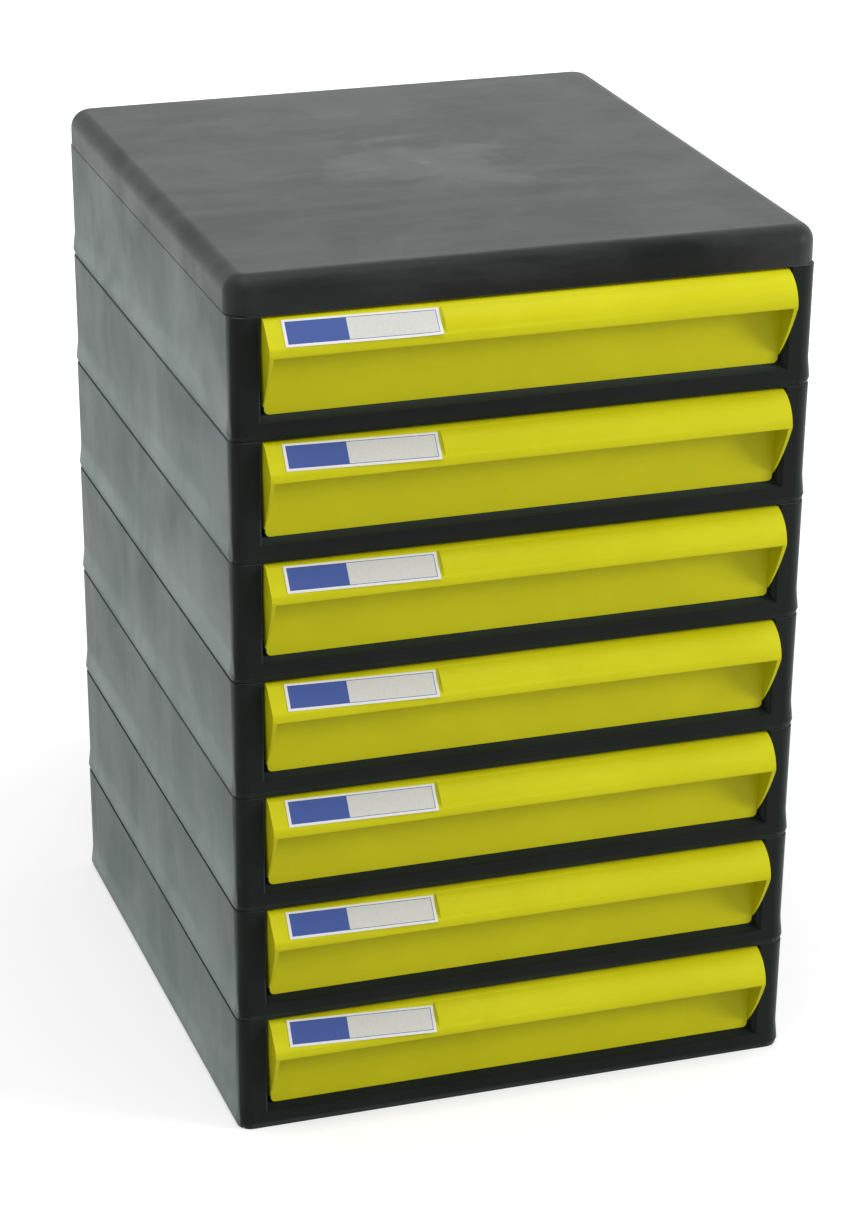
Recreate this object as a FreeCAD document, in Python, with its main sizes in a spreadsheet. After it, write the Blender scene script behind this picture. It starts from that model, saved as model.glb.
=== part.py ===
import FreeCAD, Part
import math
import os

import Sketcher

# Desktop drawer cabinet, seven tiers high.
#
# Each tier is one moulded frame, open at the top: a floor with a front sill, two hollow side walls and a
# back. The frames stack on rails and a cover closes the top one. In each frame slides a one-piece drawer
# whose front is a hooked pull between two cheeks, with a flat at the left for a card label.
#
# Millimetres. +Z is up, the drawers open towards -Y, and the origin is on the table under the middle of
# the whole object, pulls included. Every piece is drawn about the cabinet's own middle, as if its tier stood
# on the table. Its Placement then lifts it to its tier and moves it back by half of what the pulls stand out.

TIERS = 7                    # tier 1 is the top one
RIBS_PER_SIDE = 3            # cross ribs in each hollow side

SIZES = (
    ("width", 290.0, "cabinet, over the rims"),
    ("depth", 316.0, "cabinet, front face to back face"),
    ("tier_pitch", 60.0, "height that each tier adds"),
    ("corner_radius", 8.0, "upright corners of the tiers"),
    ("foot_inset", 1.2, "bevel under a tier's rim"),
    ("rim_height", 3.4, "top of that bevel, where a tier is widest"),
    ("waist_height", 13.0, "where the flared rim ends"),
    ("waist_inset", 1.0, "wall behind the rim, at the waist"),
    ("mouth_inset", 0.4, "wall behind the rim, at the top of a tier"),
    ("skin", 3.0, "outer wall, measured from the rim"),
    ("inner_skin", 2.2, "inner wall of the hollow sides"),
    ("opening_width", 260.0, "between the two front posts"),
    ("floor_level", 11.0, "top of the floor"),
    ("floor_wall", 2.2, "floor plate"),
    ("sill_height", 8.6, "upright face of the front sill"),
    ("sill_run", 7.0, "depth of the sill's slope up to the floor"),
    ("apron_wall", 2.6, "thickness of the sill's upright"),
    ("opening_bevel", 1.0, "bevel on the sill and posts, round the opening"),
    ("runner_width", 6.0, "runners that carry a drawer"),
    ("runner_height", 0.5, "height of the runners over the floor"),
    ("runner_inset", 22.0, "runner's middle to the side of the opening"),
    ("runner_setback", 12.0, "front end of the runners behind the front face"),
    ("rib_wall", 1.6, "cross ribs in the hollow sides"),
    ("rib_end_gap", 40.0, "first and last rib to the cabinet's ends"),
    ("rib_lift", 4.5, "lower edge of the ribs"),
    ("rail_height", 3.0, "stacking rails on top of the sides"),
    ("rail_end_gap", 24.0, "ends of the rails to the cabinet's ends"),
    ("rail_chamfer", 0.8, "lead-in on the rails"),
    ("stack_clearance", 0.4, "rails to the hollow of the piece above"),
    ("lid_rise", 19.0, "cover above the top tier"),
    ("lid_corner", 12.0, "upright corners of the cover"),
    ("lid_round", 9.0, "top edge of the cover"),
    ("lid_top_wall", 2.6, "cover plate"),
    ("lid_bevel", 0.8, "lower edge of the cover's skirt"),
    ("side_gap", 1.8, "drawer front to post, each side"),
    ("top_gap", 0.8, "drawer to the piece above"),
    ("back_gap", 0.5, "drawer to the back of its tier"),
    ("cheek_step", 0.8, "drawer front wider than its tray, each side"),
    ("tray_draft", 0.8, "tray narrower at its floor, each side"),
    ("tray_wall", 2.0, "walls of the tray"),
    ("tray_floor", 2.2, "floor of the tray"),
    ("tray_round", 6.0, "long lower edges of the tray, outside"),
    ("tray_corner", 2.5, "bevel on the tray's upright back corners, under twice its wall"),
    ("recess", 7.0, "drawer's front wall behind the front face"),
    ("band_radius", 20.0, "convex band of the pull"),
    ("band_setback", 5.9, "centre of that radius behind the front face"),
    ("band_drop", 19.1, "centre of that radius below the drawer's top"),
    ("band_wall", 2.8, "thickness of the band"),
    ("crown_wall", 2.2, "shelf between the band and the front wall"),
    ("nose_drop", 12.7, "foremost line of the band below the top"),
    ("nose_round", 3.0, "rounding along that line"),
    ("lip_drop", 17.6, "lower edge of the lip below the top"),
    ("lip_reach", 12.5, "lower edge of the lip before the front face"),
    ("lip_wall", 2.4, "thickness of the lip"),
    ("lip_round", 1.5, "radius under the lip, over half its thickness"),
    ("cheek_wall", 2.0, "cheeks that close the pull's ends"),
    ("cheek_lift", 4.2, "lower tip of a cheek above the drawer's floor"),
    ("cheek_radius", 110.0, "front edge of a cheek"),
    ("seat_tilt", 45.0, "label flat, leaning back from upright"),
    ("seat_depth", 1.4, "label flat below the band"),
    ("seat_end_gap", 1.5, "label to the end of its flat"),
    ("label_margin", 5.2, "label to the left end of the front"),
    ("label_width", 74.0, "card label"),
    ("label_height", 14.0, "card label, up the flat"),
    ("label_thickness", 0.4, "card label"),
    ("stop_length", 9.0, "stop lugs on the tray's sides"),
    ("stop_height", 3.0, "stop lugs above the tray's rim"),
    ("stop_setback", 75.0, "stop lugs before the tray's back"),
    ("overrun", 5.0, "how far a cut runs past the face it opens"),
)

# Lines that more than one piece is drawn from, as expressions in those sizes.
FRONT = "(-Sizes.depth / 2)"
BACK = "(Sizes.depth / 2)"
SIDE = "(Sizes.width / 2)"
OPENING = "(Sizes.opening_width / 2)"
HOLLOW = "(Sizes.width / 2 - Sizes.skin)"
BAY_BACK = "(Sizes.depth / 2 - Sizes.skin)"
RIM = "Sizes.tier_pitch"
DRAWER_FLOOR = "(Sizes.floor_level + Sizes.runner_height)"
DRAWER_TOP = "(Sizes.tier_pitch - Sizes.top_gap)"
FRONT_HALF = "(Sizes.opening_width / 2 - Sizes.side_gap)"
TRAY_HALF = f"({FRONT_HALF} - Sizes.cheek_step)"
WALL_FACE = f"({FRONT} + Sizes.recess)"
TRAY_BACK = f"({BAY_BACK} - Sizes.back_gap)"
BAND_Y = f"({FRONT} + Sizes.band_setback)"
BAND_Z = f"({DRAWER_TOP} - Sizes.band_drop)"
NOSE_Z = f"({DRAWER_TOP} - Sizes.nose_drop)"
LIP_Y = f"({FRONT} - Sizes.lip_reach)"
LIP_Z = f"({DRAWER_TOP} - Sizes.lip_drop)"
SEAT_REACH = "(Sizes.band_radius - Sizes.seat_depth)"
STOP_FACE = f"({TRAY_BACK} - Sizes.stop_setback - Sizes.stop_length)"


def on_band(radius, up):
    """The y, as an expression, of a circle about the band's centre at a height."""
    return f"({BAND_Y} - sqrt({radius} ^ 2 - ({up} - {BAND_Z}) ^ 2))"


SETBACK = f"(({FRONT} - {on_band('Sizes.band_radius', NOSE_Z)}) / 2)"

TOUCH = 1e-4                 # two places closer than this are the same place
ORIGIN = -1                  # the sketcher's number for a sketch's own origin
HOLLOW_ARC = "hollow "       # marks an outline's arc that bulges inwards

doc = FreeCAD.newDocument("drawer_cabinet")
sizes = doc.addObject("Spreadsheet::Sheet", "Sizes")
for row, (alias, value, meaning) in enumerate(SIZES, start=1):
    sizes.set(f"A{row}", alias)
    sizes.set(f"B{row}", str(value))
    sizes.setAlias(f"B{row}", alias)
    sizes.set(f"C{row}", meaning)
doc.recompute()


def measure(expression):
    """The value of an expression in the sheet's sizes."""
    return float(sizes.evalExpression(expression.replace("Sizes.", "")))


# ---- sketches -------------------------------------------------------------------------------------------

def new_body(label, tiers_up):
    """An empty body that stands the given number of tiers above the table."""
    body = doc.addObject("PartDesign::Body", label)
    body.Label = label
    body.setExpression("Placement.Base.y", SETBACK)
    body.setExpression("Placement.Base.z", f"{tiers_up} * Sizes.tier_pitch")
    return body


def origin_item(body, role):
    """One of the body's own origin planes or axes."""
    return next(item for item in body.Origin.OriginFeatures if item.Role == role)


def new_sketch(body, name, role, offset="0"):
    """A sketch on one of the body's origin planes, moved along its normal by offset."""
    sketch = body.newObject("Sketcher::SketchObject", name)
    sketch.AttachmentSupport = (origin_item(body, role), "")
    sketch.MapMode = "FlatFace"
    sketch.setExpression("AttachmentOffset.Base.z", offset)
    return sketch


def bind(sketch, constraint, expression):
    """Adds a constraint whose value follows an expression."""
    sketch.setExpression(f"Constraints[{sketch.addConstraint(constraint)}]", expression)


def pin(sketch, edge, end, across, up):
    """Places one end of an edge by its distances from the sketch's origin."""
    for kind, expression in (("DistanceX", across), ("DistanceY", up)):
        bind(sketch, Sketcher.Constraint(kind, ORIGIN, 1, edge, end, measure(expression)), expression)


def add_line(sketch, start, end):
    """A straight edge between two (across, up) pairs of expressions."""
    ends = [FreeCAD.Vector(measure(across), measure(up), 0) for across, up in (start, end)]
    return sketch.addGeometry(Part.LineSegment(*ends))


def add_arc(sketch, start, end, radius):
    """A minor arc that runs counter-clockwise from start to end."""
    first, last = (FreeCAD.Vector(measure(across), measure(up), 0) for across, up in (start, end))
    chord = last - first
    inwards = FreeCAD.Vector(-chord.y, chord.x, 0).normalize()
    apothem = math.sqrt(max(measure(radius) ** 2 - chord.Length ** 2 / 4, 0))
    centre = (first + last) * 0.5 + inwards * apothem
    angles = [math.atan2(place.y - centre.y, place.x - centre.x) for place in (first, last)]
    circle = Part.Circle(centre, FreeCAD.Vector(0, 0, 1), measure(radius))
    arc = sketch.addGeometry(Part.ArcOfCircle(circle, *angles))
    bind(sketch, Sketcher.Constraint("Radius", arc, measure(radius)), radius)
    return arc


def outline(sketch, corners):
    """A closed outline, counter-clockwise, through corners of (across, up) or (across, up, radius).

    A radius makes the edge that leaves its corner an arc: one that bulges out of the outline, or into it
    where the radius is given as HOLLOW_ARC + radius."""
    places = [corner[:2] for corner in corners]
    edges = []
    for corner, place, following in zip(corners, places, places[1:] + places[:1]):
        if len(corner) == 2:
            edges.append((add_line(sketch, place, following), 1, 2))
        elif corner[2].startswith(HOLLOW_ARC):
            edges.append((add_arc(sketch, following, place, corner[2][len(HOLLOW_ARC):]), 2, 1))
        else:
            edges.append((add_arc(sketch, place, following, corner[2]), 1, 2))
    for number, (edge, near_end, _) in enumerate(edges):
        before, _, far_end = edges[number - 1]
        sketch.addConstraint(Sketcher.Constraint("Coincident", before, far_end, edge, near_end))
        pin(sketch, edge, near_end, *places[number])


def rectangle(sketch, left, right, low, high):
    """A rectangle between four expressions."""
    outline(sketch, [(left, low), (right, low), (right, high), (left, high)])


def rounded_plan(sketch, inset, radius):
    """The cabinet's plan, pulled in by inset, with its four corners rounded."""
    half_x, half_y = f"({SIDE} - {inset})", f"({BACK} - {inset})"
    inner_x, inner_y = f"({half_x} - {radius})", f"({half_y} - {radius})"
    outline(sketch, [
        (f"-{inner_x}", f"-{half_y}"),
        (inner_x, f"-{half_y}", radius),
        (half_x, f"-{inner_y}"),
        (half_x, inner_y, radius),
        (inner_x, half_y),
        (f"-{inner_x}", half_y, radius),
        (f"-{half_x}", inner_y),
        (f"-{half_x}", f"-{inner_y}", radius),
    ])


# ---- features -------------------------------------------------------------------------------------------

def extrude(body, kind, name, sketch, length, upward=True, both_ways=False):
    """A Pad or Pocket of the sketch. upward runs it along the sketch's normal."""
    feature = body.newObject(f"PartDesign::{kind}", name)
    feature.Profile = sketch
    feature.setExpression("Length", length)
    feature.Midplane = both_ways
    feature.Reversed = upward if kind == "Pocket" else not upward
    return feature


def edges_of(feature, wanted):
    """The names of a feature's edges that the test wanted picks."""
    return [f"Edge{number}" for number, edge in enumerate(feature.Shape.Edges, start=1) if wanted(edge)]


def dress(body, kind, name, wanted, size):
    """A Fillet or Chamfer of the given size on the edges of the body's tip that wanted picks."""
    doc.recompute()
    base = body.Tip
    names = edges_of(base, wanted)
    if not names:
        raise RuntimeError(f"{name}: no edge to dress")
    feature = body.newObject(f"PartDesign::{kind}", name)
    feature.Base = (base, names)
    feature.setExpression("Radius" if kind == "Fillet" else "Size", size)
    return feature


def lies(edge, **places):
    """Whether every end of an edge is at the given x, y or z. abs_x is the distance from the middle."""
    axes = {"x": 0, "y": 1, "z": 2}
    for vertex in edge.Vertexes:
        for name, value in places.items():
            found = abs(vertex.Point.x) if name == "abs_x" else vertex.Point[axes[name]]
            if abs(found - value) > TOUCH:
                return False
    return True


# ---- the pieces -----------------------------------------------------------------------------------------

def build_tier_frame(label, tiers_up):
    """One tier: floor, sill, hollow sides and back, with stacking rails on top."""
    body = new_body(label, tiers_up)

    # The outside tapers down to a waist, flares out to the rim and is bevelled under it.
    sections = []
    for name, height, inset in (("foot", "0", "Sizes.foot_inset"), ("rim", "Sizes.rim_height", "0"),
                                ("waist", "Sizes.waist_height", "Sizes.waist_inset"),
                                ("mouth", RIM, "Sizes.mouth_inset")):
        section = new_sketch(body, f"{name}_section", "XY_Plane", height)
        rounded_plan(section, inset, f"(Sizes.corner_radius - {inset})")
        sections.append(section)
    outside = body.newObject("PartDesign::AdditiveLoft", "outside")
    outside.Profile = sections[0]
    outside.Sections = sections[1:]
    outside.Ruled = True

    bay = new_sketch(body, "bay_plan", "XY_Plane", "Sizes.floor_level")
    rectangle(bay, f"-{OPENING}", OPENING, f"({FRONT} - Sizes.overrun)", BAY_BACK)
    extrude(body, "Pocket", "bay", bay, RIM)

    sill = new_sketch(body, "sill_profile", "YZ_Plane")
    outline(sill, [
        (f"({FRONT} - Sizes.overrun)", "Sizes.sill_height"),
        (FRONT, "Sizes.sill_height"),
        (f"({FRONT} + Sizes.sill_run)", "Sizes.floor_level"),
        (f"({FRONT} + Sizes.sill_run)", "(Sizes.floor_level + Sizes.overrun)"),
        (f"({FRONT} - Sizes.overrun)", "(Sizes.floor_level + Sizes.overrun)"),
    ])
    extrude(body, "Pocket", "sill_slope", sill, "Sizes.opening_width", both_ways=True)

    under = new_sketch(body, "underside_profile", "YZ_Plane")
    outline(under, [
        (f"({FRONT} + Sizes.apron_wall)", "-Sizes.overrun"),
        (BAY_BACK, "-Sizes.overrun"),
        (BAY_BACK, "(Sizes.floor_level - Sizes.floor_wall)"),
        (f"({FRONT} + Sizes.sill_run + Sizes.apron_wall)", "(Sizes.floor_level - Sizes.floor_wall)"),
        (f"({FRONT} + Sizes.apron_wall)", "(Sizes.sill_height - Sizes.floor_wall)"),
    ])
    extrude(body, "Pocket", "underside", under, "Sizes.opening_width", both_ways=True)

    channel_in = f"({OPENING} + Sizes.inner_skin)"
    channel_front, channel_back = f"({FRONT} + Sizes.skin)", BAY_BACK
    channels = new_sketch(body, "channel_plan", "XY_Plane")
    rectangle(channels, channel_in, HOLLOW, channel_front, channel_back)
    rectangle(channels, f"-{HOLLOW}", f"-{channel_in}", channel_front, channel_back)
    extrude(body, "Pocket", "channels", channels, f"({RIM} - Sizes.floor_wall)")

    ribs = new_sketch(body, "rib_plan", "XY_Plane", "Sizes.rib_lift")
    rib_front = f"({FRONT} + Sizes.rib_end_gap)"
    for left, right in ((channel_in, HOLLOW), (f"-{HOLLOW}", f"-{channel_in}")):
        rectangle(ribs, left, right, rib_front, f"({rib_front} + Sizes.rib_wall)")
    rib = extrude(body, "Pad", "rib", ribs, f"({RIM} - Sizes.rib_lift)")
    doc.recompute()
    row = body.newObject("PartDesign::LinearPattern", "rib_row")
    row.Originals = [rib]
    row.Direction = (origin_item(body, "Y_Axis"), [""])
    row.setExpression("Length", "Sizes.depth - 2 * Sizes.rib_end_gap - Sizes.rib_wall")
    row.Occurrences = RIBS_PER_SIDE
    body.Tip = row

    rails = new_sketch(body, "rail_plan", "XY_Plane", RIM)
    rail_in, rail_out = f"({channel_in} + Sizes.stack_clearance)", f"({HOLLOW} - Sizes.stack_clearance)"
    for left, right in ((rail_in, rail_out), (f"-{rail_out}", f"-{rail_in}")):
        rectangle(rails, left, right, f"({FRONT} + Sizes.rail_end_gap)", f"({BACK} - Sizes.rail_end_gap)")
    extrude(body, "Pad", "rails", rails, "Sizes.rail_height")

    runners = new_sketch(body, "runner_plan", "XY_Plane", "Sizes.floor_level")
    runner_in = f"({OPENING} - Sizes.runner_inset - Sizes.runner_width / 2)"
    runner_out = f"({OPENING} - Sizes.runner_inset + Sizes.runner_width / 2)"
    for left, right in ((runner_in, runner_out), (f"-{runner_out}", f"-{runner_in}")):
        rectangle(runners, left, right, f"({FRONT} + Sizes.runner_setback)", BAY_BACK)
    extrude(body, "Pad", "runners", runners, "Sizes.runner_height")

    rail_top = measure(f"{RIM} + Sizes.rail_height")
    dress(body, "Chamfer", "rail_lead_in", lambda edge: lies(edge, z=rail_top), "Sizes.rail_chamfer")
    dress(body, "Chamfer", "opening_edges", is_opening_edge, "Sizes.opening_bevel")
    return body


def is_opening_edge(edge):
    """Whether an edge is the sill's front edge or part of a post's, round the front opening."""
    front_limit = measure(f"{FRONT} + Sizes.waist_inset") + TOUCH
    if any(vertex.Point.y > front_limit for vertex in edge.Vertexes):
        return False
    if lies(edge, z=measure("Sizes.sill_height")):
        return edge.Length > measure(OPENING)
    return lies(edge, abs_x=measure(OPENING)) and edge.BoundBox.ZLength > TOUCH


def build_lid():
    """The cover: a rounded plate with a skirt that stands on the top tier, hollow underneath."""
    body = new_body("lid", TIERS)
    plan = new_sketch(body, "cover_plan", "XY_Plane")
    rounded_plan(plan, "0", "Sizes.lid_corner")
    extrude(body, "Pad", "cover", plan, "Sizes.lid_rise")
    top = measure("Sizes.lid_rise")
    dress(body, "Fillet", "cover_round", lambda edge: lies(edge, z=top), "Sizes.lid_round")
    dress(body, "Chamfer", "skirt_bevel", lambda edge: lies(edge, z=0), "Sizes.lid_bevel")
    inside = new_sketch(body, "hollow_plan", "XY_Plane")
    rounded_plan(inside, "Sizes.skin", "(Sizes.lid_corner - Sizes.skin)")
    extrude(body, "Pocket", "hollow", inside, "(Sizes.lid_rise - Sizes.lid_top_wall)")
    hollow_top = measure("Sizes.lid_rise - Sizes.lid_top_wall")
    dress(body, "Chamfer", "hollow_bevel", lambda edge: lies(edge, z=hollow_top),
          "(Sizes.lid_round - Sizes.skin)")
    return body


def tray_profile(sketch, shrink, floor, top):
    """Cross-section of the tray, pulled in by shrink, with its drafted sides and rounded lower edges."""
    half_top = f"({TRAY_HALF} - {shrink})"
    half_floor = f"({half_top} - Sizes.tray_draft)"
    radius = f"(Sizes.tray_round - {shrink})"
    outline(sketch, [
        (f"-({half_floor} - {radius})", floor),
        (f"({half_floor} - {radius})", floor, radius),
        (half_floor, f"({floor} + {radius})"),
        (half_top, top),
        (f"-{half_top}", top),
        (f"-{half_floor}", f"({floor} + {radius})", radius),
    ])


def seat_place(along, out):
    """A (y, z) pair of expressions: up the label's flat by along, and out from the band's centre."""
    lean = "Sizes.seat_tilt"
    return (f"({BAND_Y} + {along} * sin({lean}) - {out} * cos({lean}))",
            f"({BAND_Z} + {along} * cos({lean}) + {out} * sin({lean}))")


def build_drawer(label, tiers_up):
    """One drawer: a tray and, in the same moulding, the hooked pull across its front."""
    body = new_body(label, tiers_up)

    tray = new_sketch(body, "tray_profile", "XZ_Plane", f"-{WALL_FACE}")
    tray_profile(tray, "0", DRAWER_FLOOR, DRAWER_TOP)
    extrude(body, "Pad", "tray", tray, f"({TRAY_BACK} - {WALL_FACE})", upward=False)
    dress(body, "Chamfer", "back_corners", is_back_corner, "Sizes.tray_corner")

    # The pull: crown, convex band, nose and lip, open below and behind.
    wall_back = f"({WALL_FACE} + Sizes.tray_wall)"
    inner = "(Sizes.band_radius - Sizes.band_wall)"
    crown_under = f"({DRAWER_TOP} - Sizes.crown_wall)"
    band = [
        (wall_back, DRAWER_TOP),
        (on_band("Sizes.band_radius", DRAWER_TOP), DRAWER_TOP, "Sizes.band_radius"),
        (on_band("Sizes.band_radius", NOSE_Z), NOSE_Z),
    ]
    pull = new_sketch(body, "pull_profile", "YZ_Plane")
    outline(pull, band + [
        (LIP_Y, LIP_Z, "Sizes.lip_round"),
        (f"({LIP_Y} + Sizes.lip_wall)", LIP_Z),
        (on_band(inner, NOSE_Z), NOSE_Z, f"{HOLLOW_ARC}{inner}"),
        (on_band(inner, crown_under), crown_under),
        (wall_back, crown_under),
    ])
    extrude(body, "Pad", "pull", pull, f"(2 * {FRONT_HALF})", both_ways=True)

    cheek_profile = new_sketch(body, "cheek_profile", "YZ_Plane", f"({FRONT_HALF} - Sizes.cheek_wall)")
    cheek_tip = f"({DRAWER_FLOOR} + Sizes.cheek_lift)"
    outline(cheek_profile, band + [
        (LIP_Y, LIP_Z, "Sizes.cheek_radius"),
        (WALL_FACE, cheek_tip),
        (wall_back, cheek_tip),
    ])
    cheek = extrude(body, "Pad", "cheek", cheek_profile, "Sizes.cheek_wall")

    # A lug on each side of the rim meets the apron of the piece above when the drawer is out.
    lug_profile = new_sketch(body, "stop_profile", "YZ_Plane", f"({TRAY_HALF} - Sizes.tray_wall)")
    outline(lug_profile, [
        (STOP_FACE, DRAWER_TOP),
        (f"({STOP_FACE} + Sizes.stop_length)", DRAWER_TOP),
        (STOP_FACE, f"({DRAWER_TOP} + Sizes.stop_height)"),
    ])
    lug = extrude(body, "Pad", "stop_lug", lug_profile, "Sizes.tray_wall")
    doc.recompute()
    pair = body.newObject("PartDesign::Mirrored", "both_ends")
    pair.Originals = [cheek, lug]
    pair.MirrorPlane = (origin_item(body, "YZ_Plane"), [""])
    body.Tip = pair

    # The flat for the label runs out through the left end of the band.
    seat = new_sketch(body, "seat_profile", "YZ_Plane", f"-({FRONT_HALF} + Sizes.overrun)")
    outline(seat, [
        seat_place("-Sizes.band_radius / 2", SEAT_REACH),
        seat_place("Sizes.band_radius / 2", SEAT_REACH),
        seat_place("Sizes.band_radius / 2", f"({SEAT_REACH} + Sizes.overrun)"),
        seat_place("-Sizes.band_radius / 2", f"({SEAT_REACH} + Sizes.overrun)"),
    ])
    extrude(body, "Pocket", "label_seat", seat,
            "Sizes.overrun + Sizes.label_margin + Sizes.label_width + Sizes.seat_end_gap")

    hollow = new_sketch(body, "hollow_profile", "XZ_Plane", f"-{wall_back}")
    tray_profile(hollow, "Sizes.tray_wall", f"({DRAWER_FLOOR} + Sizes.tray_floor)",
                 f"({DRAWER_TOP} + Sizes.overrun)")
    extrude(body, "Pocket", "tray_hollow", hollow, f"({TRAY_BACK} - {WALL_FACE} - 2 * Sizes.tray_wall)",
            upward=False)

    nose = {"y": measure(on_band("Sizes.band_radius", NOSE_Z)), "z": measure(NOSE_Z)}
    dress(body, "Fillet", "nose_round", lambda edge: lies(edge, **nose), "Sizes.nose_round")
    return body


def is_back_corner(edge):
    """Whether an edge is an upright at the back of the tray."""
    low, high = sorted(vertex.Point.z for vertex in edge.Vertexes)
    at_back = lies(edge, y=measure(TRAY_BACK))
    upright = high - low > measure("Sizes.tier_pitch / 2")
    return at_back and upright


def build_label(label, tiers_up):
    """A card label that lies on the flat of its drawer's pull."""
    body = new_body(label, tiers_up)
    card = new_sketch(body, "card_outline", "XY_Plane")
    rectangle(card, "-Sizes.label_width / 2", "Sizes.label_width / 2",
              "-Sizes.label_height / 2", "Sizes.label_height / 2")
    extrude(body, "Pad", "card", card, "Sizes.label_thickness")

    seat_y, seat_z = seat_place("0", SEAT_REACH)
    body.Placement = FreeCAD.Placement(FreeCAD.Vector(), FreeCAD.Rotation(FreeCAD.Vector(1, 0, 0), 1))
    body.setExpression("Placement.Rotation.Angle", "90 - Sizes.seat_tilt")
    body.setExpression("Placement.Base.x",
                       f"-{FRONT_HALF} + Sizes.label_margin + Sizes.label_width / 2")
    body.setExpression("Placement.Base.y", f"{SETBACK} + {seat_y}")
    body.setExpression("Placement.Base.z", f"{tiers_up} * Sizes.tier_pitch + {seat_z}")
    return body


def check(body):
    """Stops the script if a feature failed, cut nothing or added nothing, or the shape isn't one solid."""
    for feature in body.Group:
        if {"Invalid", "Error"} & set(feature.State):
            raise RuntimeError(f"{body.Label}: {feature.Name} failed")
        base = getattr(feature, "BaseFeature", None)
        if base is not None and abs(base.Shape.Volume - feature.Shape.Volume) < TOUCH:
            raise RuntimeError(f"{body.Label}: {feature.Name} changes nothing")
    shape = body.Shape
    if shape.isNull() or not shape.isValid() or len(shape.Solids) != 1:
        raise RuntimeError(f"{body.Label}: not one valid solid")


def main():
    """Builds every piece, checks it and writes its STEP file."""
    pieces = [build_lid()]
    for tier in range(1, TIERS + 1):
        tiers_up = TIERS - tier
        pieces.append(build_tier_frame(f"tier_frame_{tier}", tiers_up))
        pieces.append(build_drawer(f"drawer_{tier}", tiers_up))
        pieces.append(build_label(f"label_{tier}", tiers_up))
    doc.recompute()
    os.makedirs("parts", exist_ok=True)
    for piece in pieces:
        check(piece)
    for piece in pieces:
        piece.Shape.exportStep(f"parts/{piece.Label}.step")
        box = piece.Shape.BoundBox
        print(f"{piece.Label:14s} {piece.Shape.Volume / 1000:8.1f} cm3"
              f"  x {box.XMin:7.1f} {box.XMax:6.1f}  y {box.YMin:7.1f} {box.YMax:6.1f}"
              f"  z {box.ZMin:6.1f} {box.ZMax:6.1f}")


main()
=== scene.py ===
import logging
import math
from dataclasses import dataclass
from enum import Enum

import bmesh
import bpy
from mathutils import Matrix, Vector


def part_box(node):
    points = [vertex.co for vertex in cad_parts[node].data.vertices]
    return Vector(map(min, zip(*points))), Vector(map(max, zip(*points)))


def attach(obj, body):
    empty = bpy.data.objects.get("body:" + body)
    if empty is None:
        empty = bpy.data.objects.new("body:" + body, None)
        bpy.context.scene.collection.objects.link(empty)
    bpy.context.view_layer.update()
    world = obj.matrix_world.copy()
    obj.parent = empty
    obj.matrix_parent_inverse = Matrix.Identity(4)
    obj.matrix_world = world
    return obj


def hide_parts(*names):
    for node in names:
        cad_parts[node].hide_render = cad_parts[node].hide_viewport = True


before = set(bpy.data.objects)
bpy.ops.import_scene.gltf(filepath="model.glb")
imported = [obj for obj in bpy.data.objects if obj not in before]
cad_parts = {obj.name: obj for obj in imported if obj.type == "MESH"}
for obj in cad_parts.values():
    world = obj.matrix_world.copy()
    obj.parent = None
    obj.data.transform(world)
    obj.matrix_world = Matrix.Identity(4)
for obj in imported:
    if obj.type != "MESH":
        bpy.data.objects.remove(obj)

log = logging.getLogger("drawer_cabinet")

MM = 0.001
TIERS = 7
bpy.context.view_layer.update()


def middle(name: str) -> Vector:
    """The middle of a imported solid's box."""
    low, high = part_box(name)
    return (Vector(low) + Vector(high)) / 2


COVER_TOP = Vector((*middle("lid").xy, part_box("lid")[1][2]))
CABINET_Y = COVER_TOP.y      # the cabinet's own middle, front to back
FRONT_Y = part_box("tier_frame_1")[0][1]      # the front face of the frames
TIER_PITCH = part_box("tier_frame_1")[0][2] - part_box("tier_frame_2")[0][2]


class Surface(Enum):
    """How a moulding's skin varies."""

    PLAIN = "plain"
    # Side walls with dusty haze and painted sheen and highlights.
    PAINTED_SHEEN_AND_HAZE_SIDES = "sides with haze and painted sheen"
    GATED = "gated"


def node(tree: bpy.types.NodeTree, kind: str, **values) -> bpy.types.Node:
    """Adds a shader node and sets its properties and inputs.

    Args:
        tree: The material's node tree.
        kind: The node's type name, without its ShaderNode prefix.
        **values: Properties by name, or inputs by name with underscores for spaces.

    Returns:
        The new node.
    """
    made = tree.nodes.new(f"ShaderNode{kind}")
    for name, value in values.items():
        if hasattr(made, name):
            setattr(made, name, value)
        else:
            made.inputs[name.replace("_", " ")].default_value = value
    return made


def combine(tree: bpy.types.NodeTree, operation: str, first: bpy.types.NodeSocket,
            second: bpy.types.NodeSocket | float = 0.0) -> bpy.types.NodeSocket:
    """Combines two values, the second of them a socket or a number.

    Args:
        tree: The material's node tree.
        operation: The Math node's operation.
        first: The first value.
        second: The second value.

    Returns:
        A socket with the result.
    """
    made = node(tree, "Math", operation=operation)
    tree.links.new(first, made.inputs[0])
    if isinstance(second, float):
        made.inputs[1].default_value = second
    else:
        tree.links.new(second, made.inputs[1])
    return made.outputs["Value"]


def blend(tree: bpy.types.NodeTree, factor: bpy.types.NodeSocket,
          first: bpy.types.NodeSocket | tuple[float, float, float],
          second: bpy.types.NodeSocket | tuple[float, float, float]) -> bpy.types.NodeSocket:
    """Mixes two colours, each of them a socket or a colour.

    Args:
        tree: The material's node tree.
        factor: How much of the second there is, from 0 to 1.
        first: The first colour.
        second: The second colour.

    Returns:
        A socket with the mixed colour.
    """
    made = node(tree, "Mix", data_type="RGBA")
    tree.links.new(factor, made.inputs["Factor"])
    for socket, colour in ((made.inputs["A"], first), (made.inputs["B"], second)):
        if isinstance(colour, tuple):
            socket.default_value = (*colour, 1.0)
        else:
            tree.links.new(colour, socket)
    return made.outputs["Result"]


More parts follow.
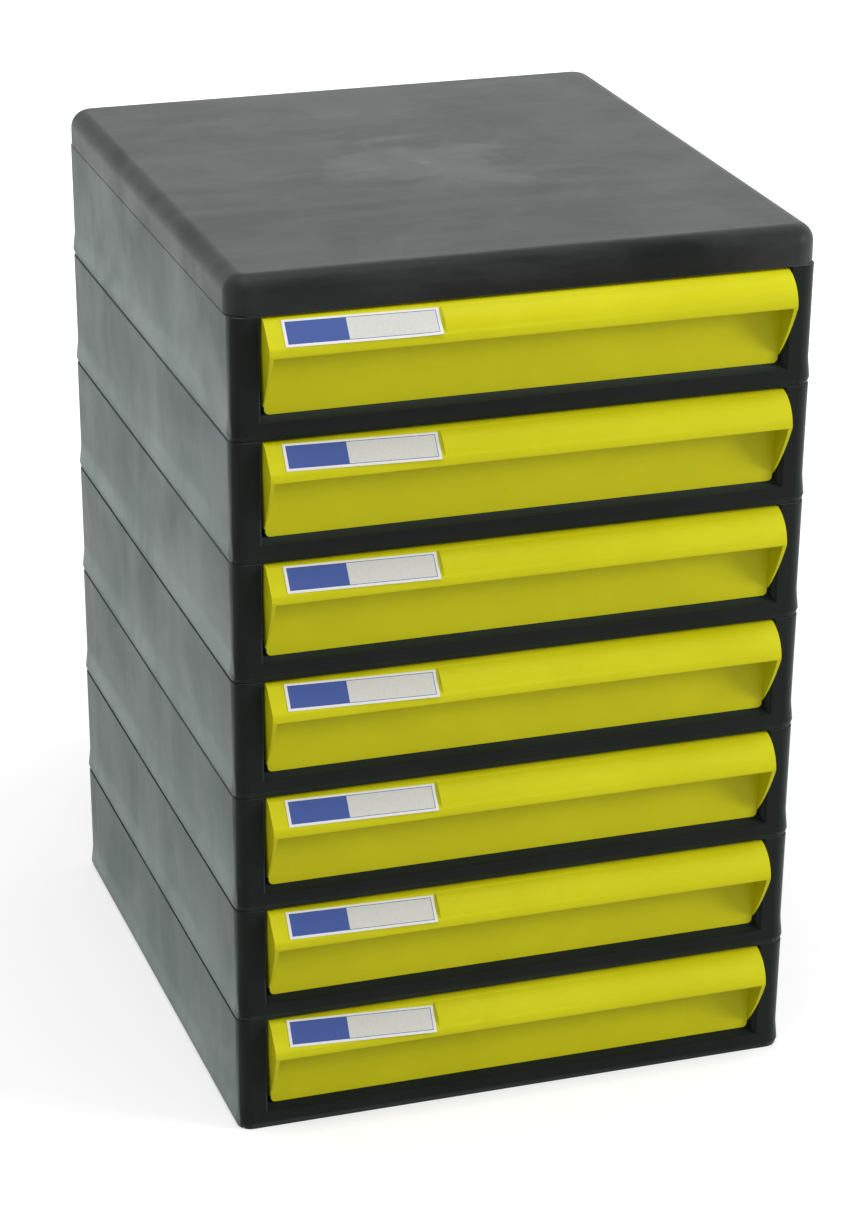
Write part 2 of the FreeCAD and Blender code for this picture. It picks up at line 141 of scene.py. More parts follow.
@dataclass(frozen=True)
class Ramp:
    """A map from low..high to start..end, with soft ends unless it is straight."""

    low: float
    high: float
    start: float = 0.0
    end: float = 1.0
    straight: bool = False

    def of(self, tree: bpy.types.NodeTree, value: bpy.types.NodeSocket) -> bpy.types.NodeSocket:
        """Maps a value and returns a socket with the result."""
        made = node(tree, "MapRange", interpolation_type="LINEAR" if self.straight else "SMOOTHSTEP",
                    From_Min=self.low, From_Max=self.high, To_Min=self.start, To_Max=self.end)
        tree.links.new(value, made.inputs["Value"])
        return made.outputs["Result"]


@dataclass(frozen=True)
class Cloud:
    """A cloudy noise, stretched along the axes with the smaller numbers, and the ramp that it passes."""

    stretch: tuple[float, float, float]
    scale: float
    ramp: Ramp | None = None
    detail: float = 5.0
    roughness: float = 0.62
    distortion: float = 0.6

    def of(self, tree: bpy.types.NodeTree, place: bpy.types.NodeSocket) -> bpy.types.NodeSocket:
        """Lays the noise over a surface.

        Args:
            tree: The material's node tree.
            place: The surface's own coordinates.

        Returns:
            A socket with the ramp's result or, without a ramp, the noise, mostly between 0.3 and 0.7.
        """
        spread = node(tree, "Mapping")
        spread.inputs["Scale"].default_value = self.stretch
        tree.links.new(place, spread.inputs["Vector"])
        clouds = node(tree, "TexNoise", Scale=self.scale, Detail=self.detail, Roughness=self.roughness,
                      Distortion=self.distortion)
        tree.links.new(spread.outputs["Vector"], clouds.inputs["Vector"])
        noise = clouds.outputs["Fac"]
        return self.ramp.of(tree, noise) if self.ramp else noise


@dataclass(frozen=True)
class SideHazeAndSheen:
    """The haze and painted sheen on the outer walls: mottled drifts, partly dusty haze and partly painted
    sheen; wisps that turn into painted sheen streaks towards the back; painted sheen low on each tier
    towards the front; and painted highlights along its flare.
    """

    # Haze and painted sheen lie on the side and back walls only.
    sides: Ramp = Ramp(143.2 * MM, 143.9 * MM)
    rear: Ramp = Ramp(CABINET_Y + 156.0 * MM, CABINET_Y + 157.0 * MM)
    # Mottled drifts: partly dusty haze, partly painted sheen.
    drifts: Cloud = Cloud((9.0, 11.0, 4.0), 1.6, Ramp(0.32, 0.74, 0.1, 0.34))
    wisps: Cloud = Cloud((26.0, 34.0, 5.0), 2.0, Ramp(0.46, 0.76, 0.0, 0.2))
    # Painted sheen: the wisps grow stronger towards the back, as bright streaks where sink marks there
    # catch the light.
    rear_sink_mark_sheen: Ramp = Ramp(CABINET_Y + 85.0 * MM, CABINET_Y + 125.0 * MM, 0.5, 1.4)
    # Painted sheen: lighter low on each tier and towards the front.
    low_down: Ramp = Ramp(8.0 * MM, 54.0 * MM, 1.0, 0.0)
    forward: Ramp = Ramp(CABINET_Y - 100.0 * MM, CABINET_Y + 120.0 * MM, 0.46, 0.2)
    flare_foot: Ramp = Ramp(3.0 * MM, 6.0 * MM)
    flare_head: Ramp = Ramp(8.0 * MM, 19.0 * MM, 1.0, 0.0)
    # Painted highlights: bright streaks along the flare low on each tier, where it catches the light.
    painted_flare_highlights: Cloud = Cloud((1.0, 7.0, 3.0), 2.0, Ramp(0.36, 0.66, 0.15, 0.75))

    def cover(self, tree: bpy.types.NodeTree, place: bpy.types.NodeSocket) -> bpy.types.NodeSocket:
        """Spreads the haze and painted sheen over the side and back walls.

        Args:
            tree: The material's node tree.
            place: The surface's own coordinates.

        Returns:
            A socket with how much haze and painted sheen there is, from 0 to 1.
        """
        split = node(tree, "SeparateXYZ")
        tree.links.new(place, split.inputs["Vector"])
        across, depth = combine(tree, "ABSOLUTE", split.outputs["X"]), split.outputs["Y"]
        in_tier = combine(tree, "MODULO", split.outputs["Z"], TIER_PITCH)
        # Haze and painted sheen only on the side and back walls.
        walls = combine(tree, "MAXIMUM", self.sides.of(tree, across), self.rear.of(tree, depth))
        # Wisps, stronger towards the back as painted sheen streaks over the sink marks there.
        wisps = combine(tree, "MULTIPLY", self.wisps.of(tree, place), self.rear_sink_mark_sheen.of(tree, depth))
        # Painted sheen, lighter low on each tier and towards the front.
        painted_low_sheen = combine(tree, "MULTIPLY", self.low_down.of(tree, in_tier), self.forward.of(tree, depth))
        # Painted highlights along the flare low on each tier.
        flare = combine(tree, "MULTIPLY", self.flare_foot.of(tree, in_tier),
                        self.flare_head.of(tree, in_tier))
        painted_flare_highlights = combine(tree, "MULTIPLY", self.painted_flare_highlights.of(tree, place), flare)
        cloudy = combine(tree, "ADD", self.drifts.of(tree, place), wisps)
        return combine(tree, "MULTIPLY", walls,
                       combine(tree, "ADD", cloudy, combine(tree, "ADD", painted_low_sheen, painted_flare_highlights)))


@dataclass(frozen=True)
class GateHaze:
    """The haze of the melt's flow over the cover, and the small disc and pit of the gate itself."""

    ragged: Cloud = Cloud((9.0, 15.0, 9.0), 3.0)
    raggedness: float = 0.11
    splash: Ramp = Ramp(-0.028, -0.004, 0.45, 0.0)
    drifts: Cloud = Cloud((2.5, 17.0, 9.0), 1.7, Ramp(0.36, 0.74, 0.0, 0.35))
    pip: Ramp = Ramp(2.2 * MM, 2.9 * MM, 0.9, 0.0)
    disc: Ramp = Ramp(2.2 * MM, 2.8 * MM, 7.0, 0.0)
    pit: Ramp = Ramp(0.5 * MM, 1.1 * MM, 9.0, 0.0)

    def away(self, tree: bpy.types.NodeTree, place: bpy.types.NodeSocket) -> bpy.types.NodeSocket:
        """Measures how far a place is from the gate in the middle of the cover."""
        made = node(tree, "VectorMath", operation="DISTANCE")
        made.inputs[1].default_value = COVER_TOP
        tree.links.new(place, made.inputs[0])
        return made.outputs["Value"]

    def cover(self, tree: bpy.types.NodeTree, place: bpy.types.NodeSocket) -> bpy.types.NodeSocket:
        """Spreads the haze in a splash round the gate and long drifts across the cover.

        Args:
            tree: The material's node tree.
            place: The surface's own coordinates.

        Returns:
            A socket with how much haze there is, from 0 to 1.
        """
        away = self.away(tree, place)
        reach = combine(tree, "MULTIPLY", self.ragged.of(tree, place), self.raggedness)
        splash = self.splash.of(tree, combine(tree, "SUBTRACT", away, reach))
        flow = combine(tree, "ADD", splash, self.drifts.of(tree, place))
        return combine(tree, "ADD", self.pip.of(tree, away), flow)

    def relief(self, tree: bpy.types.NodeTree, place: bpy.types.NodeSocket) -> bpy.types.NodeSocket:
        """Raises the gate's disc, with the pit where the sprue broke off, in grain heights."""
        away = self.away(tree, place)
        return combine(tree, "SUBTRACT", self.disc.of(tree, away), self.pit.of(tree, away))


@dataclass(frozen=True)
class MouldedFinish:
    """Injection-moulded plastic: fine grain, cloudy gloss and, where it has them, haze, painted sheen and
    highlights, and flow marks.
    """

    name: str
    slot: str
    colour: tuple[float, float, float]
    cloud_colour: tuple[float, float, float]
    gloss: Ramp
    specular: float = 0.12
    sheen: float = 0.0
    sheen_roughness: float = 0.45
    sheen_tint: tuple[float, float, float] = (1.0, 1.0, 1.0)
    surface: Surface = Surface.PLAIN
    haze_and_sheen_colour: tuple[float, float, float] = (0.0, 0.0, 0.0)
    clouds: Cloud = Cloud((8.0, 8.0, 8.0), 2.2)
    cloudiness: Ramp = Ramp(0.38, 0.68)
    grain_scale: float = 1400.0
    grain_height: float = 0.04 * MM
    grain_strength: float = 0.35

    def material(self) -> bpy.types.Material:
        """Builds the finish once and returns it afterwards."""
        if self.name in bpy.data.materials:
            return bpy.data.materials[self.name]
        made = bpy.data.materials.new(self.name)
        made.use_nodes = True
        tree = made.node_tree
        shader = tree.nodes["Principled BSDF"]
        shader.inputs["Specular IOR Level"].default_value = self.specular
        shader.inputs["Sheen Weight"].default_value = self.sheen
        shader.inputs["Sheen Roughness"].default_value = self.sheen_roughness
        shader.inputs["Sheen Tint"].default_value = (*self.sheen_tint, 1.0)
        place = node(tree, "TexCoord").outputs["Object"]

        clouds = self.clouds.of(tree, place)
        colour = blend(tree, self.cloudiness.of(tree, clouds), self.colour, self.cloud_colour)
        # On the tiers this lays haze with painted sheen and highlights over the walls; on the cover, the
        # gate's flow marks.
        if self.surface in HAZES_AND_SHEEN:
            haze = HAZES_AND_SHEEN[self.surface].cover(tree, place)
            colour = blend(tree, haze, colour, self.haze_and_sheen_colour)
        tree.links.new(colour, shader.inputs["Base Color"])
        tree.links.new(self.gloss.of(tree, clouds), shader.inputs["Roughness"])

        grain = node(tree, "TexNoise", Scale=self.grain_scale, Detail=2.0, Roughness=0.5)
        tree.links.new(place, grain.inputs["Vector"])
        relief = grain.outputs["Fac"]
        if self.surface is Surface.GATED:
            relief = combine(tree, "ADD", relief, HAZES_AND_SHEEN[Surface.GATED].relief(tree, place))
        bump = node(tree, "Bump", Strength=self.grain_strength, Distance=self.grain_height)
        tree.links.new(relief, bump.inputs["Height"])
        tree.links.new(bump.outputs["Normal"], shader.inputs["Normal"])
        return made


@dataclass(frozen=True)
class CardFinish:
    """Coated card with a plain blue block and a ruled blank field, laid out on the card's own UV map."""

    name: str = "label_card"
    slot: str = "label"
    paper: tuple[float, float, float] = (0.72, 0.72, 0.70)
    ink: tuple[float, float, float] = (0.024, 0.065, 0.282)
    roughness: float = 0.38
    field_paper: tuple[float, float, float] = (0.59, 0.59, 0.55)
    block_left: float = 0.019
    field: tuple[float, float, float, float] = (0.403, 0.981, 0.095, 0.925)
    rule: tuple[float, float] = (0.004, 0.021)
    fibre_scale: float = 900.0
    mottle: Ramp = Ramp(0.3, 0.7, 0.94, 1.03, straight=True)

    def inside(self, tree: bpy.types.NodeTree, across: bpy.types.NodeSocket, up: bpy.types.NodeSocket,
               area: tuple[float, float, float, float]) -> bpy.types.NodeSocket:
        """Makes a mask of a rectangle.

        Args:
            tree: The material's node tree.
            across: How far along the card.
            up: How far up the card.
            area: Left, right, bottom and top.

        Returns:
            A socket that is 1 inside the rectangle and 0 outside.
        """
        left, right, low, high = area
        mask = combine(tree, "GREATER_THAN", across, left)
        for side, operation, limit in ((across, "LESS_THAN", right), (up, "GREATER_THAN", low),
                                       (up, "LESS_THAN", high)):
            mask = combine(tree, "MULTIPLY", mask, combine(tree, operation, side, limit))
        return mask

    def material(self) -> bpy.types.Material:
        """Builds the finish once and returns it afterwards."""
        if self.name in bpy.data.materials:
            return bpy.data.materials[self.name]
        made = bpy.data.materials.new(self.name)
        made.use_nodes = True
        tree = made.node_tree
        shader = tree.nodes["Principled BSDF"]
        shader.inputs["Roughness"].default_value = self.roughness
        coordinates = node(tree, "TexCoord")
        split = node(tree, "SeparateXYZ")
        tree.links.new(coordinates.outputs["UV"], split.inputs["Vector"])
        across, up = split.outputs["X"], split.outputs["Y"]

        left, right, low, high = self.field
        blank = (left + self.rule[0], right - self.rule[0], low + self.rule[1], high - self.rule[1])
        printed = self.inside(tree, across, up, (self.block_left, right, low, high))
        empty = self.inside(tree, across, up, blank)
        inked = combine(tree, "SUBTRACT", printed, empty)
        stock = blend(tree, empty, self.paper, self.field_paper)
        tint = blend(tree, inked, stock, self.ink)

        fibre = node(tree, "TexNoise", Scale=self.fibre_scale, Detail=3.0, Roughness=0.6)
        tree.links.new(coordinates.outputs["Object"], fibre.inputs["Vector"])
        toned = node(tree, "VectorMath", operation="SCALE")
        tree.links.new(tint, toned.inputs["Vector"])
        tree.links.new(self.mottle.of(tree, fibre.outputs["Fac"]), toned.inputs["Scale"])
        tree.links.new(toned.outputs["Vector"], shader.inputs["Base Color"])
        return made


# The side walls get haze with painted sheen and highlights; the cover gets the gate's flow marks.
HAZES_AND_SHEEN = {Surface.PAINTED_SHEEN_AND_HAZE_SIDES: SideHazeAndSheen(), Surface.GATED: GateHaze()}
TEAL_BLOOM = (0.78, 1.0, 0.95)
COOL_BLOOM = (0.96, 1.0, 1.0)
# The tiers' teal-grey haze colour serves both dusty haze and painted sheen.
BLACK_TIER = MouldedFinish("black_tier", "cabinet", (0.0028, 0.0040, 0.0032), (0.005, 0.0068, 0.006),
                           Ramp(0.3, 0.7, 0.36, 0.5), specular=0.09, sheen=0.29, sheen_tint=TEAL_BLOOM,
                           surface=Surface.PAINTED_SHEEN_AND_HAZE_SIDES, haze_and_sheen_colour=(0.205, 0.235, 0.225))
BLACK_COVER = MouldedFinish("black_cover", "cabinet", (0.0035, 0.0045, 0.004), (0.008, 0.009, 0.009),
                            Ramp(0.3, 0.7, 0.34, 0.48), specular=0.09, sheen=0.25,
                            sheen_tint=COOL_BLOOM, surface=Surface.GATED,
                            haze_and_sheen_colour=(0.080, 0.083, 0.085))
YELLOW_DRAWER = MouldedFinish("yellow_drawer", "drawer", (0.575, 0.552, 0.003), (0.61, 0.588, 0.005),
                              Ramp(0.3, 0.7, 0.38, 0.48), specular=0.18, grain_height=0.02 * MM)
CARD = CardFinish()


def soften(skin: bmesh.types.BMesh, edges: list[bmesh.types.BMEdge], width: float) -> None:
    """Rounds hard edges over by a small width."""
    bmesh.ops.bevel(skin, geom=edges, offset=width, offset_type="OFFSET", segments=2, profile=0.5,
                    affect="EDGES", clamp_overlap=True, material=-1)


@dataclass
class Moulding:
    """One moulded piece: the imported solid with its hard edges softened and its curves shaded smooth."""

    name: str
    node_name: str
    body: str
    finish: MouldedFinish
    edge_round: float = 0.3 * MM
    hard_angle: float = math.radians(30.0)
    sharp_angle: float = math.radians(50.0)
    flat_angle: float = math.radians(0.3)
    merge_gap: float = 0.001 * MM

    def solid(self) -> bmesh.types.BMesh:
        """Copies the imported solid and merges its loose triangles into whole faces."""
        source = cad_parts[self.node_name]
        skin = bmesh.new()
        skin.from_mesh(source.data)
        bmesh.ops.transform(skin, matrix=source.matrix_world, verts=skin.verts)
        bmesh.ops.remove_doubles(skin, verts=skin.verts, dist=self.merge_gap)
        bmesh.ops.dissolve_limit(skin, angle_limit=self.flat_angle, use_dissolve_boundaries=False,
                                 verts=skin.verts, edges=skin.edges, delimit=set())
        return skin

    def add_forms(self, skin: bmesh.types.BMesh) -> None:
        """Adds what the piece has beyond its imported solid, which is nothing here."""

    def shape(self) -> bpy.types.Mesh:
        """Rounds the solid's hard edges and shades its curves smooth."""
        skin = self.solid()
        hard = [edge for edge in skin.edges
                if len(edge.link_faces) == 2 and edge.calc_face_angle() > self.hard_angle]
        soften(skin, hard, self.edge_round)
        self.add_forms(skin)
        for face in skin.faces:
            face.smooth = True
        mesh = bpy.data.meshes.new(self.name)
        skin.to_mesh(mesh)
        skin.free()
        mesh.set_sharp_from_angle(angle=self.sharp_angle)
        return mesh

    def build(self) -> bpy.types.Object:
        """Makes the piece, gives it its finish and puts it on its body."""
        mesh = self.shape()
        mesh.materials.append(self.finish.material())
        piece = bpy.data.objects.new(self.name, mesh)
        bpy.context.collection.objects.link(piece)
        weighted = piece.modifiers.new("flat_faces_stay_flat", "WEIGHTED_NORMAL")
        weighted.keep_sharp = True
        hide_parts(self.node_name)
        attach(piece, self.body)
        log.info("%s: %d faces", self.name, len(mesh.polygons))
        return piece


class Pen:
    """Draws an outline in a plane, one line or arc at a time."""

    def __init__(self, skin: bmesh.types.BMesh, axis: Vector, start: bmesh.types.BMVert) -> None:
        """Sets the pen down.

        Args:
            skin: The mesh that is drawn in.
            axis: The plane's normal, about which arcs turn.
            start: The vertex that the first stroke starts from.
        """
        self.skin = skin
        self.axis = axis
        self.at = start

    def line(self, to: Vector) -> list[bmesh.types.BMEdge]:
        """Draws a straight line to a place and returns its edge."""
        grown = bmesh.ops.extrude_vert_indiv(self.skin, verts=[self.at])
        bmesh.ops.translate(self.skin, vec=to - self.at.co, verts=grown["verts"])
        self.at = grown["verts"][0]
        return grown["edges"]

    def join(self, end: bmesh.types.BMVert) -> list[bmesh.types.BMEdge]:
        """Draws a straight line to a vertex that is there already and returns its edge."""
        made = bmesh.ops.contextual_create(self.skin, geom=[self.at, end])
        self.at = end
        return made["edges"]

    def arc(self, to: Vector, radius: float, steps: int, share: float = 1.0) -> list[bmesh.types.BMEdge]:
        """Draws an arc towards a place.

        Args:
            to: Where the whole arc ends.
            radius: Its radius, positive where the centre is to the left of the stroke.
            steps: How many edges are drawn.
            share: How much of the whole arc is drawn.

        Returns:
            The arc's edges.
        """
        chord = to - self.at.co
        half = chord.length / 2
        side = math.copysign(1.0, radius)
        across = self.axis.cross(chord).normalized() * side
        centre = (self.at.co + to) / 2 + across * math.sqrt(radius ** 2 - half ** 2)
        angle = side * 2 * math.asin(half / abs(radius)) * share
        before = set(self.skin.edges)
        spun = bmesh.ops.spin(self.skin, geom=[self.at], cent=centre, axis=self.axis, angle=angle,
                              steps=steps, use_merge=False, use_duplicate=False)
        self.at = next(part for part in spun["geom_last"] if isinstance(part, bmesh.types.BMVert))
        return [edge for edge in self.skin.edges if edge not in before]

    def arc_onto(self, end: bmesh.types.BMVert, radius: float, steps: int) -> list[bmesh.types.BMEdge]:
        """Draws an arc that ends on a vertex that is there already and returns its edges."""
        drawn = self.arc(end.co.copy(), radius, steps - 1, share=(steps - 1) / steps)
        return drawn + self.join(end)


@dataclass
class PullFront:
    """A drawer's front: the hooked pull, its cheeks, the flat for the label and the wall behind them."""

    base: float
    half: float = 129.3 * MM
    top: float = 59.2 * MM
    floor: float = 11.5 * MM
    reach: float = 11.8 * MM
    drop: float = 15.3 * MM
    setback: float = 0.4 * MM
    band_wall: float = 1.8 * MM
    crown_wall: float = 2.4 * MM
    cheek_wall: float = 2.0 * MM
    cheek_lift: float = 4.0 * MM
    cheek_draft: float = 1.4 * MM
    cheek_radius: float = 110.0 * MM
    lip_share: float = 0.55
    recess: float = 5.0 * MM
    wall: float = 2.0 * MM
    wall_step: float = 1.2 * MM
    wall_draft: float = 0.8 * MM
    wall_round: float = 2.4 * MM
    seat_tilt: float = math.radians(42.0)
    seat_depth: float = 1.6 * MM
    seat_length: float = 84.2 * MM
    edge_round: float = 0.3 * MM
    hard_angle: float = math.radians(40.0)
    hidden_gap: float = 0.05 * MM
    crown_steps: int = 3
    band_steps: int = 4
    bulge_steps: int = 10
    inner_steps: int = 12
    round_steps: int = 6

    @property
    def radius(self) -> float:
        """The band's radius: its arc starts at the top edge and stands upright at the lip."""
        run = self.reach + self.setback
        return (run ** 2 + self.drop ** 2) / (2 * run)

    @property
    def centre(self) -> Vector:
        """The middle of the band's arc, at the cabinet's own middle plane."""
        return self.place(0.0, self.radius - self.reach, self.top - self.drop)

    @property
    def wall_back(self) -> float:
        """The back of the wall behind the pull."""
        return FRONT_Y + self.recess + self.wall

    def place(self, across: float, back: float, up: float) -> Vector:
        """A place from the frames' front face and the tier's own foot."""
        return Vector((across, FRONT_Y + back, self.base + up))

    def on_band(self, across: float, radius: float, lift: float) -> Vector:
        """A place on a circle about the band's middle, at an angle above level."""
        out = Vector((0.0, -math.cos(lift), math.sin(lift))) * radius
        return self.centre + out + Vector((across, 0.0, 0.0))

    def hook(self, skin: bmesh.types.BMesh) -> tuple[bmesh.types.BMFace, list[bmesh.types.BMEdge]]:
        """Draws the pull's cross-section at the left end, with the label's flat in it.

        Args:
            skin: The mesh that is drawn in.

        Returns:
            The cross-section, and those of its edges that a cheek closes.
        """
        left = -self.half
        half_flat = math.acos(1.0 - self.seat_depth / self.radius)
        inner = self.radius - self.band_wall
        under = self.top - self.crown_wall
        crown_lift = math.asin((under - self.top + self.drop) / inner)
        rear = self.recess + self.wall
        start = skin.verts.new(self.place(left, rear, self.top))
        pen = Pen(skin, Vector((1.0, 0.0, 0.0)), start)
        open_edges = pen.line(self.place(left, self.setback, self.top))
        open_edges += pen.arc(self.on_band(left, self.radius, self.seat_tilt + half_flat), self.radius,
                              self.crown_steps)
        open_edges += pen.line(self.on_band(left, self.radius, self.seat_tilt - half_flat))
        open_edges += pen.arc(self.place(left, -self.reach, self.top - self.drop), self.radius,
                              self.band_steps)
        lip = self.place(left, self.band_wall - self.reach, self.top - self.drop)
        closed = pen.arc(lip, self.lip_share * self.band_wall, self.round_steps)
        closed += pen.arc(self.on_band(left, inner, crown_lift), -inner, self.inner_steps)
        closed += pen.line(self.place(left, rear, under))
        open_edges += pen.join(start)
        made = bmesh.ops.contextual_create(skin, geom=open_edges + closed)
        return made["faces"][0], closed

    def web(self, skin: bmesh.types.BMesh, across: float,
            closed: list[bmesh.types.BMEdge]) -> bmesh.types.BMFace:
        """Draws the part of a cheek that closes the hollow of the pull.

        Args:
            skin: The mesh that is drawn in.
            across: Where the cheek is.
            closed: The edges of the pull's cross-section that the web closes, at that place.

        Returns:
            The web's face.
        """
        tip = self.floor + self.cheek_lift
        start = self.nearest(skin, self.place(across, -self.reach, self.top - self.drop))
        end = self.nearest(skin, self.place(across, self.recess + self.wall, self.top - self.crown_wall))
        pen = Pen(skin, Vector((1.0, 0.0, 0.0)), start)
        drawn = pen.arc(self.place(across, self.recess, tip), self.cheek_radius, self.round_steps)
        drawn += pen.line(self.place(across, self.recess + self.wall, tip))
        drawn += pen.join(end)
        return bmesh.ops.contextual_create(skin, geom=closed + drawn)["faces"][0]

    def nearest(self, skin: bmesh.types.BMesh, place: Vector) -> bmesh.types.BMVert:
        """Finds the vertex nearest to a place."""
        return min(skin.verts, key=lambda corner: (corner.co - place).length)

    def edges_at(self, skin: bmesh.types.BMesh, old: list[bmesh.types.BMEdge], shift: float,
                 across: float) -> list[bmesh.types.BMEdge]:
        """Finds the edges that old ones became after an extrusion along the drawer's width.

        Args:
            skin: The mesh that is searched.
            old: The edges at the left end.
            shift: How far they moved.
            across: Where they are now.

        Returns:
            The edges there, in the same order.
        """
        level = [edge for edge in skin.edges
                 if all(abs(corner.co.x - across) < self.hidden_gap for corner in edge.verts)]
        found = []
        for edge in old:
            middle_now = (edge.verts[0].co + edge.verts[1].co) / 2 + Vector((shift, 0.0, 0.0))
            found.append(min(level, key=lambda other: (
                (other.verts[0].co + other.verts[1].co) / 2 - middle_now).length))
        return found

    def extrude(self, skin: bmesh.types.BMesh, faces: list[bmesh.types.BMFace], along: Vector,
                buried: tuple[bmesh.types.BMFace, ...] = ()) -> list[bmesh.types.BMFace]:
        """Extrudes joined faces together.

        Args:
            skin: The mesh that is worked on.
            faces: The faces, which stay behind as the solid's start.
            along: How far they go.
            buried: Those of them that would stay behind inside the solid, and are deleted.

        Returns:
            The faces at their new place.
        """
        grown = bmesh.ops.extrude_face_region(skin, geom=faces)["geom"]
        corners = [part for part in grown if isinstance(part, bmesh.types.BMVert)]
        bmesh.ops.translate(skin, vec=along, verts=corners)
        bmesh.ops.delete(skin, geom=list(buried), context="FACES")
        return [part for part in grown if isinstance(part, bmesh.types.BMFace)]

    def pull(self) -> bmesh.types.BMesh:
        """Extrudes the pull from end to end: cheek, label flat, full band and cheek."""
        skin = bmesh.new()
        sideways = Vector((1.0, 0.0, 0.0))
        left, right = -self.half + self.cheek_wall, self.half - self.cheek_wall
        step = self.seat_length - self.half
        hook, closed = self.hook(skin)
        web = self.web(skin, -self.half, closed)
        inner = self.extrude(skin, [hook, web], sideways * self.cheek_wall)
        hook = max(inner, key=lambda face: face.calc_center_median().z)
        hook = self.extrude(skin, [hook], sideways * (step - left), (hook,))[0]

        half_flat = math.acos(1.0 - self.seat_depth / self.radius)
        upper = self.nearest(skin, self.on_band(step, self.radius, self.seat_tilt + half_flat))
        lower = self.nearest(skin, self.on_band(step, self.radius, self.seat_tilt - half_flat))
        flat = [edge for edge in upper.link_edges if edge.other_vert(upper) is lower]
        bulge = Pen(skin, sideways, upper).arc_onto(lower, self.radius, self.bulge_steps)
        full = bmesh.ops.contextual_create(skin, geom=flat + bulge)["faces"][0]
        ends = self.extrude(skin, [hook, full], sideways * (right - step), (hook,))
        web = self.web(skin, right, self.edges_at(skin, closed, right + self.half, right))
        self.extrude(skin, ends + [web], sideways * self.cheek_wall, tuple(ends))
        self.draw_in(skin)
        bmesh.ops.recalc_face_normals(skin, faces=skin.faces)
        hard = [edge for edge in skin.edges if edge.is_convex and edge.calc_face_angle() > self.hard_angle
                and any(abs(corner.co.x - step) > self.hidden_gap for corner in edge.verts)]
        soften(skin, hard, self.edge_round)
        return skin

    def draw_in(self, skin: bmesh.types.BMesh) -> None:
        """Draws the front's outer ends in below the lip."""
        fold = self.base + self.top - self.drop
        ends = [face for face in skin.faces
                if all(abs(corner.co.x) > self.half - self.hidden_gap for corner in face.verts)]
        edges = {edge for face in ends for edge in face.edges}
        corners = {corner for face in ends for corner in face.verts}
        bmesh.ops.bisect_plane(skin, geom=[*corners, *edges, *ends], plane_co=(0.0, 0.0, fold),
                               plane_no=(0.0, 0.0, 1.0), dist=self.hidden_gap / 10)
        height = self.top - self.drop - self.floor
        for corner in skin.verts:
            if abs(corner.co.x) > self.half - self.cheek_wall / 2 and corner.co.z < fold:
                drawn = self.cheek_draft * (fold - corner.co.z) / height
                corner.co.x -= math.copysign(drawn, corner.co.x)

    def back_wall(self) -> bmesh.types.BMesh:
        """Makes the wall behind the pull, with its rounded lower corners."""
        skin = bmesh.new()
        upper, lower = self.half - self.wall_step, self.half - self.wall_step - self.wall_draft
        high, bend = self.top - self.crown_wall / 2, self.floor + self.wall_round
        start = skin.verts.new(self.place(upper, self.recess, high))
        pen = Pen(skin, Vector((0.0, 1.0, 0.0)), start)
        outline = pen.line(self.place(lower, self.recess, bend))
        outline += pen.arc(self.place(lower - self.wall_round, self.recess, self.floor),
                           self.wall_round, self.round_steps)
        outline += pen.line(self.place(self.wall_round - lower, self.recess, self.floor))
        outline += pen.arc(self.place(-lower, self.recess, bend), self.wall_round, self.round_steps)
        outline += pen.line(self.place(-upper, self.recess, high))
        outline += pen.join(start)
        face = bmesh.ops.contextual_create(skin, geom=outline)["faces"][0]
        self.extrude(skin, [face], Vector((0.0, self.wall - self.hidden_gap, 0.0)))
        bmesh.ops.recalc_face_normals(skin, faces=skin.faces)
        return skin

    def add_to(self, skin: bmesh.types.BMesh) -> None:
        """Adds the pull and the wall to a drawer's mesh."""
        for part in (self.pull(), self.back_wall()):
            made = bpy.data.meshes.new("front_part")
            part.to_mesh(made)
            part.free()
            skin.from_mesh(made)
            bpy.data.meshes.remove(made)

    def seat(self, across: float, drop: float) -> Matrix:
        """The label's place on the flat.

        Args:
            across: The label's middle, from the cabinet's middle plane.
            drop: How far it lies below the middle of the flat.

        Returns:
            A matrix with X along the flat, Y up it and Z out of it.
        """
        out = self.radius - self.seat_depth
        return (Matrix.Translation(self.centre + Vector((across, 0.0, 0.0)))
                @ Matrix.Rotation(math.pi / 2 - self.seat_tilt, 4, "X")
                @ Matrix.Translation((0.0, -drop, out)))


